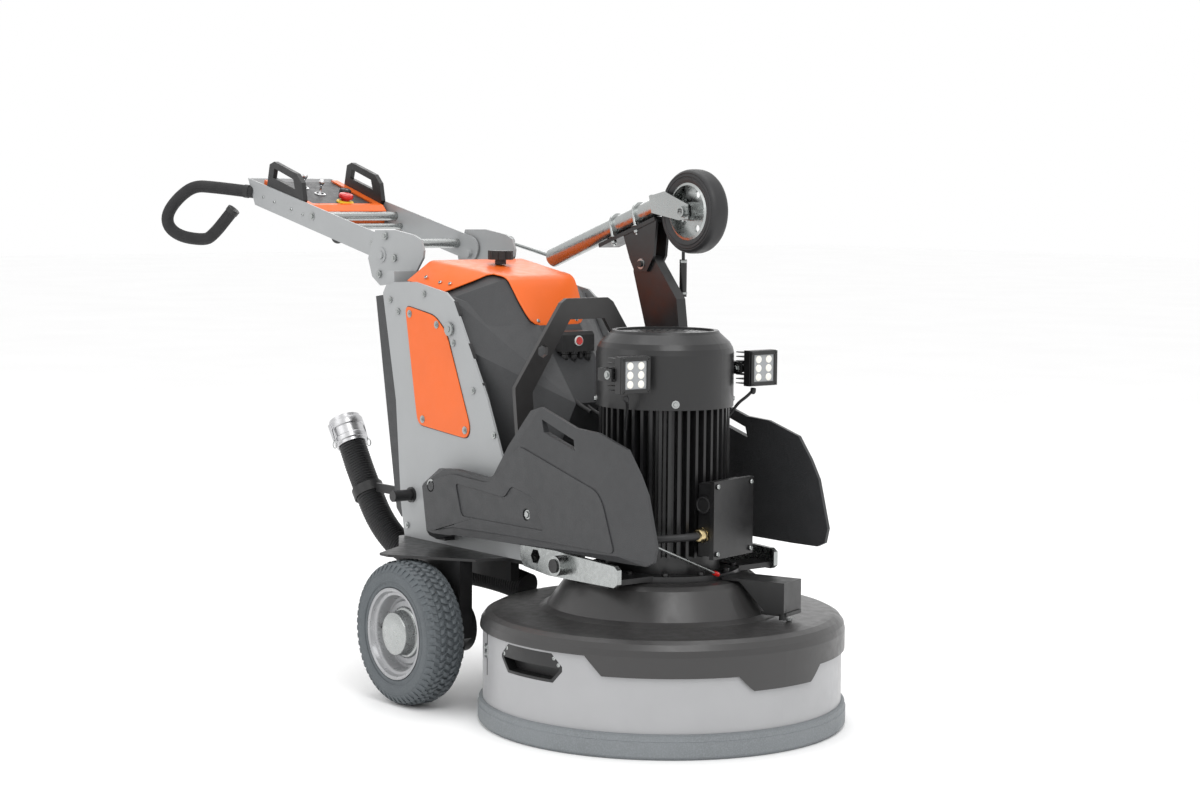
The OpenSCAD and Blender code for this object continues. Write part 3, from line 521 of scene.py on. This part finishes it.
def build_handle():
    foam = Piece()
    collars = Piece()
    for mirror in (1, -1):
        place = Matrix.Diagonal((1, mirror, 1, 1)) @ shift(-1636, -ARM_Y, 0) @ turn("Z", 38.5)
        route = [place @ Vector((-p.x, 0, p.z)) for p in rounded(GRIP_CORNERS, 4)]
        route = even_steps(route, 7)
        foam.tube(route, 16.9, 24)
        for a, b in ((route[2], route[4]), (route[-3], route[-1])):
            collars.tube([a, b], 18.5, 24)
    foam.done("grip_loops", "grip_foam", "handle", replaces=["grips"])
    collars.done("grip_collars", "black_plastic", "handle", bevel=0.8)

    stop = Piece(panel_frame(-450, 20))
    stop.lathe([(11, -6), (11, 10), (13, 12), (19.4, 13.2), (20, 15), (20, 20), (18.6, 23.6), (14, 25.4),
                (0.1, 26)], sides=48)
    for i in range(3):
        stop.box((-1, 7, 25.3), (1, 12, 26.0), turn("Z", i * 120))
    stop.done("stop_mushroom", "red_plastic", "emergency_stop", replaces=["emergency_stop"])
    base = Piece(panel_frame(-450, 20))
    base.lathe([(12.6, 0.2), (24, 0.2), (24, 3), (22.4, 4.6), (18, 5), (17.4, 6.4), (12.6, 6.4)], sides=48,
               closed=True)
    base.done("stop_base", "yellow_plastic", "handle", bevel=0.3)
    knob = Piece(panel_frame(-505, 52))
    rings = []
    for h, scale in ((1, 1.0), (4, 1.0), (17, 0.94), (21, 0.88), (23, 0.74), (23, 0.05)):
        rings.append([
            (r * scale * math.cos(t), r * scale * math.sin(t), h)
            for r, t in ((17 if i % 4 < 2 else 16, 2 * math.pi * i / 72) for i in range(72))
        ])
    knob.stack(rings)
    knob.lathe([(5.9, -6), (5.9, 2)], sides=24)
    knob.done("speed_knob_turned", "black_plastic", "speed_knob", replaces=["speed_knob"])
    mark = Piece(panel_frame(-505, 52))
    mark.box((5, -0.8, 22.9), (12, 0.8, 23.3))
    mark.done("speed_mark", "white_plastic", "speed_knob", bevel=0.1)
    for word, x, y in (("front", -530, -12), ("rear", -590, -30)):
        stick = Piece(panel_frame(x, y))
        stick.lathe([(0.1, -9), (4, -8), (6.6, -3), (6.2, 1), (3.2, 5), (2.6, 22), (3.6, 25), (6.5, 29),
                     (8, 34), (7.4, 38), (4.6, 41.4), (0.1, 42)], sides=32)
        stick.done("stick_" + word, "chrome", "joystick_" + word, replaces=["joystick_" + word])
        boot = Piece(panel_frame(x, y))
        boot.lathe([(11.4, 0.3), (16, 0.3), (16, 2.2), (13, 3.4), (11.4, 3.4)], sides=36, closed=True)
        boot.done("stick_ring_" + word, "chrome", "handle")

    details = Piece(HANDLE)
    for y in (-1, 1):
        for u in (-620, -560, -470, -410):
            details.socket_screw((u, y * ARM_Y, 12), (0, y, 0), 4.5, 3)
        for u, w, r, h in ((0, 0, 9, 7), (-60, 14, 7, 5), (-362, 18, 7, 5)):
            details.bolt((u, y * (ARM_Y + 0.1), w), (0, y, 0), r, h)
    details.done("handle_screws", "zinc_steel", "handle", bevel=0.3)


# ---------------------------------------------------------------- hose

HOSE = [
    (-440, -60, 250), (-500, -72, 262), (-560, -88, 270), (-620, -108, 275), (-680, -128, 280),
    (-740, -146, 287), (-790, -160, 298), (-835, -170, 316), (-875, -175, 342), (-910, -178, 372),
    (-940, -179, 406), (-965, -179, 440), (-990, -178, 472), (-1012, -177, 500), (-1030, -176, 526),
    (-1046, -176, 552),
]
COUPLING = shift(-1046, -176, 552) @ turn("Y", -math.degrees(math.atan2(16, 26)))


def build_hose():
    pitch = 7.5
    route = even_steps(rounded(HOSE, 2), pitch / 4)
    hose = Piece()
    hose.tube(route, lambda s: 34.2 + 1.7 * math.cos(2 * math.pi * s / pitch), 28)
    hose.done("ribbed_hose", "black_rubber", "chassis", sharp=60, replaces=["dust_hose"])

    metal = Piece(COUPLING)
    metal.lathe([(36.1, 12), (36.1, 74), (38, 75.5), (41, 75.5), (41.5, 66), (45, 66), (45.5, 64),
                 (45.5, 50), (45, 48), (41.5, 47), (41, 24), (44, 22), (44, 10), (40.5, 8), (40, 0.4),
                 (30, 0.4), (30, 12)], sides=64, closed=True)
    for s in (1, -1):
        metal.box((-7, s * 44 - 5, 48), (7, s * 44 + 5, 64))
        lever = [(-6, 62), (6, 62), (5, 40), (3.5, 16), (0, 12), (-3.5, 16), (-5, 40)]
        metal.prism(lever, s * 50 - 2, s * 50 + 2)
        metal.lathe([(3.5, -6), (3.5, 6)], (0, s * 47, 57), (0, 1, 0), 16)
    metal.done("coupling_body", "aluminium", "chassis", bevel=0.6, replaces=["hose_coupling"])
    rings = Piece(COUPLING)
    for s in (1, -1):
        loop = [
            (9 * math.cos(t), s * 52, 4 + 9 * math.sin(t))
            for t in (2 * math.pi * i / 20 for i in range(21))
        ]
        rings.tube(loop, 1.3, 8)
    rings.done("coupling_rings", "zinc_steel", "chassis")


# ---------------------------------------------------------------- lamps


def lamp_frame(side):
    return shift(124, side * 190, 814)


def build_lamps():
    for side, word in SIDES:
        body = "lamp_" + word
        case = Piece(lamp_frame(side))
        case.box((-20, -41, -41), (0, 41, 41))
        for i in range(8):
            case.box((-50, -38.5, -37 + i * 10.2), (-19, 38.5, -34.4 + i * 10.2))
        case.lathe([(8, -43), (8, 43)], (-36, 0, 0), (0, 1, 0), 24)
        case.box((-49, -6, -36), (-20, 6, 36))
        case.done(body + "_case", "black_paint", body, bevel=0.8, replaces=[body])
        rim = Piece(lamp_frame(side))
        outer = [(-40, -40), (40, -40), (40, 40), (-40, 40)]
        inner = [(-31, -31), (31, -31), (31, 31), (-31, 31)]
        loops = ((0.1, outer), (5.6, outer), (5.6, inner), (0.1, inner))
        rim.stack([[(x, y, z) for y, z in loop] for x, loop in loops], closed=True)
        for y in (-35.5, 35.5):
            for z in (-35.5, 35.5):
                rim.socket_screw((5.4, y, z), (1, 0, 0), 3.2, 2.0)
        rim.done(body + "_rim", "black_paint", body, bevel=0.5)
        glass = Piece(lamp_frame(side))
        glass.box((0.2, -31.2, -31.2), (2.2, 31.2, 31.2))
        glass.done(body + "_lens", "lens", body, bevel=0.3)
        leds = Piece(lamp_frame(side))
        for y in (-15.5, 15.5):
            for z in (-20.5, 0, 20.5):
                dome = [(9, 0), (8.6, 1.6), (6, 2.7), (2.6, 3.2), (0.1, 3.4)]
                leds.lathe(dome, (1.6, y, z), (1, 0, 0), 24)
        leds.done(body + "_leds", "led", body)
        bolts = Piece(lamp_frame(side))
        bolts.bolt((-36, -49, 0), (0, -1, 0), 6, 4)
        bolts.bolt((-36, 49, 0), (0, 1, 0), 6, 4)
        bolts.done(body + "_bolts", "zinc_steel", "head", bevel=0.3)


# ---------------------------------------------------------------- cables

MOTOR_CABLE = [(166, -90, 452), (164, -112, 452), (152, -134, 451), (130, -154, 449), (100, -172, 446),
               (64, -184, 442), (24, -191, 436), (-20, -192, 428), (-60, -190, 420)]
LAMP_LEAD = [(92, -190, 761), (84, -178, 746), (68, -166, 731), (54, -158, 708), (43, -149, 684)]


def build_cables():
    cable = Piece(MOTOR)
    cable.tube(even_steps(rounded(MOTOR_CABLE, 3), 6), 8.9, 20)
    cable.box((-72, -204, 406), (-44, -176, 434))
    for mirror in (Matrix.Identity(4), MIRROR):
        cable.place = mirror
        cable.tube(even_steps(rounded(LAMP_LEAD, 3), 5), 3.6, 14)
        cable.lathe([(6.5, -4), (6.5, 5), (4.2, 9)], LAMP_LEAD[0], (0.2, 0.3, -1), 16)
    cable.done("cable_run", "black_rubber", "head", sharp=50, replaces=["cables"])
    gland = Piece(MOTOR)
    gland.lathe([(13.9, -20), (13.9, 0), (18, 0), (18, 9), (13.9, 9), (13.9, 11)], (166, -72, 452),
                (0, -1, 0), 6)
    gland.lathe([(15, 8), (16.5, 10), (16.5, 20), (13, 26), (9.2, 27)], (166, -72, 452), (0, -1, 0), 24)
    gland.done("motor_gland", "brass", "head", bevel=0.5)


# ---------------------------------------------------------------- top cover

# Stations of the folded sheet from the rear to the nose: X, Z, half width
COVER = ((-735, 1040, 144), (-660, 1031, 131.6), (-600, 1023.5, 121.7), (-530, 1015, 110),
         (-495, 1010.5, 104.3), (-480, 1007, 102), (-468, 998, 100.5), (-454, 979, 98.5), (-436, 951, 94),
         (-418, 923, 87), (-407, 906, 80), (-401, 897, 70), (-398, 892.5, 57))
FLAP = ((-751, 205, 990), (-668, 205, 981), (-590, 205, 969.5), (-548, 146, 998))


def build_top_cover():
    bm = bmesh.new()
    rows = []
    for x, z, w in COVER:
        rows.append([bm.verts.new((x, w * t, z)) for t in (-1, -0.55, 0, 0.55, 1)])
    for a, b in zip(rows, rows[1:]):
        for j in range(4):
            bm.faces.new((a[j], b[j], b[j + 1], a[j + 1]))
    for s, edge in ((-1, 0), (1, 4)):
        outer = [bm.verts.new((x, s * y, z)) for x, y, z in FLAP]
        for i in range(3):
            loop = (rows[i][edge], outer[i], outer[i + 1], rows[i + 1][edge])
            bm.faces.new(loop if s < 0 else tuple(reversed(loop)))
    bmesh.ops.recalc_face_normals(bm, faces=bm.faces)
    if sum(f.normal.z for f in bm.faces) < 0:
        bmesh.ops.reverse_faces(bm, faces=bm.faces)
    mesh = bpy.data.meshes.new("folded_cover")
    bm.to_mesh(mesh)
    bm.free()
    mesh.transform(TO_METRES)
    mesh.shade_smooth()
    mesh.materials.append(M["orange_paint"])
    ob = bpy.data.objects.new("folded_cover", mesh)
    bpy.context.scene.collection.objects.link(ob)
    fold = ob.modifiers.new("folds", "BEVEL")
    fold.width, fold.segments, fold.limit_method, fold.angle_limit = 0.009, 4, "ANGLE", math.radians(20)
    sheet = ob.modifiers.new("sheet", "SOLIDIFY")
    sheet.thickness, sheet.offset = 0.003, -1
    rim = ob.modifiers.new("rim", "BEVEL")
    rim.width, rim.segments, rim.limit_method, rim.angle_limit = 0.0008, 2, "ANGLE", math.radians(60)
    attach(ob, "chassis")
    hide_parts("top_cover")

    shoulder = Piece()
    corners = [(-700, 200, 972), (-600, 205, 962), (-562, 205, 954), (-473, 205, 834), (-531, 106, 1009),
               (-484, 97, 1002), (-462, 94, 975), (-440, 89, 940), (-409, 75, 893), (-700, 118, 1016)]
    for x, y, z in corners:
        for s in (-1, 1):
            shoulder.bm.verts.new((x, s * y, z))
    bmesh.ops.convex_hull(shoulder.bm, input=list(shoulder.bm.verts))
    shoulder.done("cabinet_shoulder", "dark_paint", "chassis", bevel=5, sharp=15)

    screws = Piece()
    lean = Vector((0.83, 0, 0.56))
    for s in (-1, 1):
        screws.socket_screw(Vector((-405.5, s * 58, 903)), lean, 5, 2.4)
        flat = Vector((0.05, s * 0.62, 0.78)).normalized()
        for x, y, z in ((-690, 190, 1000.5), (-632, 188, 989.8), (-596, 184, 988)):
            screws.socket_screw(Vector((x, s * y, z)), flat, 5, 2.6)
    screws.done("cover_screws", "zinc_steel", "chassis")


# ---------------------------------------------------------------- small fixings


def round_corners(outline, radius, steps=5):
    """The outline with each corner cut to an arc-like curve."""
    points = []
    n = len(outline)
    for i in range(n):
        a, b, c = (Vector(outline[(i + k) % n]) for k in (-1, 0, 1))
        ra = min(radius, (a - b).length * 0.45)
        rc = min(radius, (c - b).length * 0.45)
        start = b + (a - b).normalized() * ra
        end = b + (c - b).normalized() * rc
        for k in range(steps + 1):
            t = k / steps
            points.append(tuple(start.lerp(b, t).lerp(b.lerp(end, t), t)))
    return points


WINDOW = [(-734, 930), (-606, 910), (-557, 873), (-456, 650), (-468, 622), (-677, 640), (-690, 701)]


def build_windows():
    panes = Piece()
    seals = Piece()
    for s in (-1, 1):
        panes.prism(round_corners(WINDOW, 22), s * PLATE_Y, s * (PLATE_Y + 3))
        middle = Vector((-600, 780))
        ring = round_corners(WINDOW, 22)
        wider = [tuple(Vector(p) + (Vector(p) - middle).normalized() * 2.2) for p in ring]
        seals.prism(wider, s * (PLATE_Y - 0.2), s * (PLATE_Y + 0.7))
    panes.done("window_panes", "orange_paint", "chassis", bevel=0.7, replaces=["window_panels"])
    seals.done("window_seals", "black_rubber", "chassis", bevel=0.2)
    clips = Piece()
    for s in (-1, 1):
        for (x0, z0), (x1, z1) in (((-538, 944), (-516, 908)), ((-478, 846), (-456, 808)),
                                   ((-424, 756), (-404, 716))):
            out = Vector((z0 - z1, x1 - x0)).normalized() * 13
            quad = [(x0, z0), (x1, z1), (x1 + out.x, z1 + out.y), (x0 + out.x, z0 + out.y)]
            clips.prism(round_corners(quad, 4, 3), s * (PLATE_Y - 11), s * (PLATE_Y - 1))
    clips.done("cabinet_clips", "black_rubber", "chassis", bevel=0.8)


def build_skirt_details():
    """Screws of the skirt handles, and the seam of the band with its latch."""
    for mirror in (Matrix.Identity(4), MIRROR):
        word = "left" if mirror is not MIRROR else "right"
        screws = Piece(mirror @ turn("Z", 85.5))
        for y, z in ((-78, 204), (-90, 190), (78, 204), (90, 190)):
            out = Vector((math.sqrt((SKIRT_R - 0.5) ** 2 - y * y), y, 0)).normalized()
            screws.socket_screw(out * (SKIRT_R - 1) + Vector((0, 0, z)), out, 4.6, 2.0)
        screws.done("skirt_screws_" + word, "zinc_steel", "skirt")
    seam = Piece()
    latch = Piece()
    for turned in (-113, 113):
        place = turn("Z", turned)
        seam.place = place
        seam.box((SKIRT_R - 2, -3, 120), (SKIRT_R + 0.4, 3, 219))
        latch.place = place
        latch.box((SKIRT_R - 0.4, -9, 160), (SKIRT_R + 3, 9, 192))
        for z in (168, 184):
            latch.lathe([(4, 0), (4, 4), (2.6, 5), (0.1, 5)], (SKIRT_R + 2.5, 0, z), (1, 0, 0), 20)
    seam.done("skirt_seam", "black_rubber", "skirt", bevel=0.4)
    latch.done("skirt_latch", "zinc_steel", "skirt", bevel=0.5)
    lines = Piece()
    for r, z in ((425.2, 41), (422.6, 53)):
        lines.lathe([(r - 2, z - 1), (r, z), (r - 2, z + 1)], sides=160, closed=True)
    lines.done("skirt_lines", "grey_rubber", "skirt")


def build_connector():
    block = Piece()
    glands = Piece()
    lit = Piece()
    for i, y in enumerate((-30, -8, 14, 34)):
        glands.lathe([(10, 2), (10, -6), (7.6, -7), (8.6, -9), (8.6, -17), (5.4, -22)],
                     (-336 + (i % 2) * 6, y, 832), (0, 0, 1), 6)
        end = Vector((-196, -60 + i * 34, 700 - i * 12))
        start = Vector((-336 + (i % 2) * 6, y, 812))
        route = [start, start + Vector((1, 0, -26)), start + Vector((34, 0, -74)),
                 end + Vector((-66, 0, 22)), end]
        block.tube(even_steps(rounded([tuple(p) for p in route], 3), 6), 4.6, 12)
    block.done("control_cables", "black_rubber", "chassis", sharp=60)
    glands.done("control_glands", "black_plastic", "chassis", bevel=0.4)
    lit.lathe([(9.7, 0), (12.4, 0), (12.4, 2.2), (10.8, 3.2), (9.7, 3.2)], (-322, 0, 858), (1, 0, 0), 40,
              closed=True)
    lit.done("button_bezel", "white_plastic", "chassis")


def build_fixings():
    screws = Piece(MOTOR)
    for y in (-66, 66):
        for z in (410, 562):
            screws.socket_screw((199, y, z), (1, 0, 0), 6, 3)
    screws.done("terminal_screws", "zinc_steel", "head", bevel=0.3)
    plug = Piece(MOTOR)
    plug.lathe([(19, 0), (19, 2.4), (16, 3.2), (15, 1.4), (0.1, 1.4)], (166, -77, 520), (0, -1, 0), 32)
    plug.done("knock_out", "black_plastic", "head")
    cowl = Piece(MOTOR)
    for i in range(4):
        t = math.radians(45 + 90 * i)
        out = Vector((math.cos(t), math.sin(t), 0))
        cowl.bolt(out * 157.6 + Vector((0, 0, 744)), out, 5.5, 4)
    cowl.done("cowl_screws", "zinc_steel", "head", bevel=0.3)
    plates = Piece()
    for p in ((-712, 910), (-596, 889), (-655, 654), (-476, 642)):
        for s in (1, -1):
            plates.lathe([(9.5, 0), (9.5, 1.2), (2, 1.2)], (p[0], s * (PLATE_Y + 3.2), p[1]), (0, s, 0), 24)
    plates.done("window_washers", "zinc_steel", "chassis", bevel=0.2)


# ---------------------------------------------------------------- side panels

# The panel's raised face and the channel in it, as X and Z
PANEL_PAD = [(-578, 497), (-530, 523), (-457, 543), (-318, 536), (-286, 548), (-190, 634), (95, 560),
             (118, 534), (160, 428), (-102, 424), (-239, 421), (-456, 414), (-538, 397), (-560, 400)]
PANEL_CHANNEL = [(-442, 522), (-246, 508), (-219, 538), (-138, 522), (-92, 449), (-417, 446)]
PANEL_CENTRE = Vector((-250, 480))


def seen_from(outline, centre, angles):
    """Where rays from the centre cross a star-shaped outline."""
    points = []
    for t in angles:
        ray = Vector((math.cos(t), math.sin(t)))
        best = None
        for i, p in enumerate(outline):
            a = Vector(p) - centre
            b = Vector(outline[(i + 1) % len(outline)]) - centre
            edge = b - a
            cross = ray.x * edge.y - ray.y * edge.x
            if abs(cross) < 1e-9:
                continue
            far = (a.x * edge.y - a.y * edge.x) / cross
            along = (a.x * ray.y - a.y * ray.x) / cross
            if far > 0 and -1e-6 <= along <= 1 + 1e-6 and (best is None or far > best):
                best = far
        points.append(centre + ray * best)
    return points


def build_panel_faces():
    corners = round_corners(PANEL_PAD, 16, 4) + round_corners(PANEL_CHANNEL, 12, 4)
    angles = sorted(math.atan2(z - PANEL_CENTRE.y, x - PANEL_CENTRE.x) for x, z in corners)
    outer = seen_from(round_corners(PANEL_PAD, 16, 4), PANEL_CENTRE, angles)
    inner = seen_from(round_corners(PANEL_CHANNEL, 12, 4), PANEL_CENTRE, angles)
    for s, word in SIDES:
        pad = Piece()
        rings = []
        for loop, rise in ((outer, -0.5), (outer, 3), (inner, 3), (inner, -0.5)):
            rings.append([(p.x, s * (PANEL_FACE_Y + rise), p.y) for p in loop])
        pad.stack(rings, closed=True)
        pad.done("panel_face_" + word, "dark_plastic", "chassis", bevel=1.6)
        bolts = Piece()
        out = (0, s, 0)
        bolts.lathe([(16.4, 0), (16.4, 16), (15, 17), (11.5, 17), (11, 13), (8.5, 13), (8.2, 16),
                     (4.4, 16.4), (4.2, 13), (0.1, 13)],
                    (-545, s * (PANEL_Y + 8), 505), out, 40)
        bolts.lathe([(13.4, 0), (13.4, 2), (8, 2.4)], (-163, s * (PANEL_Y + 12), 478), out, 36)
        bolts.bolt((-163, s * (PANEL_Y + 14), 478), out, 8, 9, washer=False)
        bolts.lathe([(3.6, 0), (3.2, 1.6), (0.1, 2.2)], (-556, s * (PANEL_Y + 14), 398), out, 16)
        bolts.done("panel_bolts_" + word, "zinc_steel", "chassis", bevel=0.4)


# ---------------------------------------------------------------- stowed transport wheel


def build_transport_wheel():
    clamps = Piece(TUBE)
    for x in (-172, -80):
        loop = [(x, 27.5 * math.cos(t), 27.5 * math.sin(t)) for t in (math.pi * i / 24 for i in range(25))]
        clamps.tube([(x, 27.5, -52), (x, 27.5, -20)] + loop + [(x, -27.5, -20), (x, -27.5, -52)], 4, 14)
        for y in (-27.5, 27.5):
            clamps.lathe([(8, 0), (8, 6), (6.8, 7.2), (4.2, 7.2)], (x, y, -40.2), (0, 0, -1), 6)
            clamps.lathe([(9.5, 0), (9.5, 1.2), (4, 1.2)], (x, y, -30), (0, 0, 1), 24)
    clamps.done("tube_clamps", "zinc_steel", "stow_arm", bevel=0.3, sharp=50)

    axle = shift(*CASTER_AT) @ turn("X", 90)
    tyre = Piece(axle)
    half = [(68, 22), (74, 25), (79, 25.6), (80.5, 24.2), (82, 24.2), (83.5, 25.6), (87, 25.4),
            (88.5, 23.8), (90, 23.8), (91.5, 24.8), (95, 22.6), (98, 18), (99.6, 12), (100, 5)]
    tyre.lathe(half + [(r, -z) for r, z in reversed(half)], sides=96, closed=True)
    tyre.done("transport_tyre", "black_rubber", "caster", replaces=["caster_tyre"], sharp=30)
    ends = Piece()
    x, y, z = CASTER_AT
    for s in (-1, 1):
        ends.lathe([(15, 0), (15, 1.6), (6, 1.6)], (x, y + s * 36, z), (0, s, 0), 32)
        ends.lathe([(11.5, 0), (11.5, 8.4), (10, 9.6), (0.1, 9.6)], (x, y + s * 36.4, z), (0, s, 0), 6)
    ends.done("axle_ends", "zinc_steel", "stow_arm", bevel=0.5)

    post = Piece()
    post.bolt((-205, STOW_Y - 22, 800), (0, -1, 0), 8, 5)
    post.bolt((-297, STOW_Y - 30, 1040), (0, -1, 0), 8, 4)
    post.done("post_bolts", "zinc_steel", "chassis", bevel=0.4)
    sleeve = Piece()
    sleeve.lathe([(9.4, 0), (9.4, 6), (4.4, 7)], (-222, STOW_Y + 41, 1044), (0, 0, 1), 24)
    sleeve.lathe([(10.4, 0), (10.4, 5), (9.3, 5)], (-222, STOW_Y + 41, 968), (0, 0, 1), 24)
    sleeve.done("damper_rings", "zinc_steel", "stow_arm", bevel=0.3)


def build_release_rod():
    rod = Piece()
    low, high = Vector((178, 4, 362)), Vector((229, -215, 448))
    rod.tube([high, high.lerp(low, 0.5), low], 3.4, 12)
    rod.done("release_rod", "zinc_steel", "head", sharp=50)
    tip = Piece()
    start = low + (high - low).normalized() * 4
    tip.lathe([(5.2, 0), (5.6, 3), (5.6, 15), (4.4, 18), (0.1, 18.6)], start, low - high, 20)
    tip.done("release_tip", "red_plastic", "head")
    bolts = Piece(BRACKET)
    for x in (206, 300):
        for y in (-26, 26):
            bolts.bolt((x, y, 0), (0, 0, 1), 6.5, 4.5)
    bolts.bolt((328, 0, 268), (0, 0, -1), 7, 5)
    bolts.done("bracket_bolts", "zinc_steel", "head", bevel=0.4)


bpy.context.scene.view_settings.view_transform = "Standard"
place_camera()
light_scene()
finish_nodes()
build_wheels()
build_handle()
build_hose()
build_lamps()
build_cables()
build_top_cover()
build_windows()
build_skirt_details()
build_connector()
build_fixings()
build_panel_faces()
build_transport_wheel()
build_release_rod()

floor = bpy.data.meshes.new("floor")
floor.from_pydata([(-30, -30, 0), (30, -30, 0), (30, 30, 0), (-30, 30, 0)], [], [(0, 1, 2, 3)])
floor_object = bpy.data.objects.new("floor", floor)
bpy.context.scene.collection.objects.link(floor_object)
M["floor"] = material("floor", (0.985, 0.985, 0.985), 0.9, tint=0.012, tint_scale=1.2, grain=0.05,
                      grain_scale=150)
floor.materials.append(M["floor"])
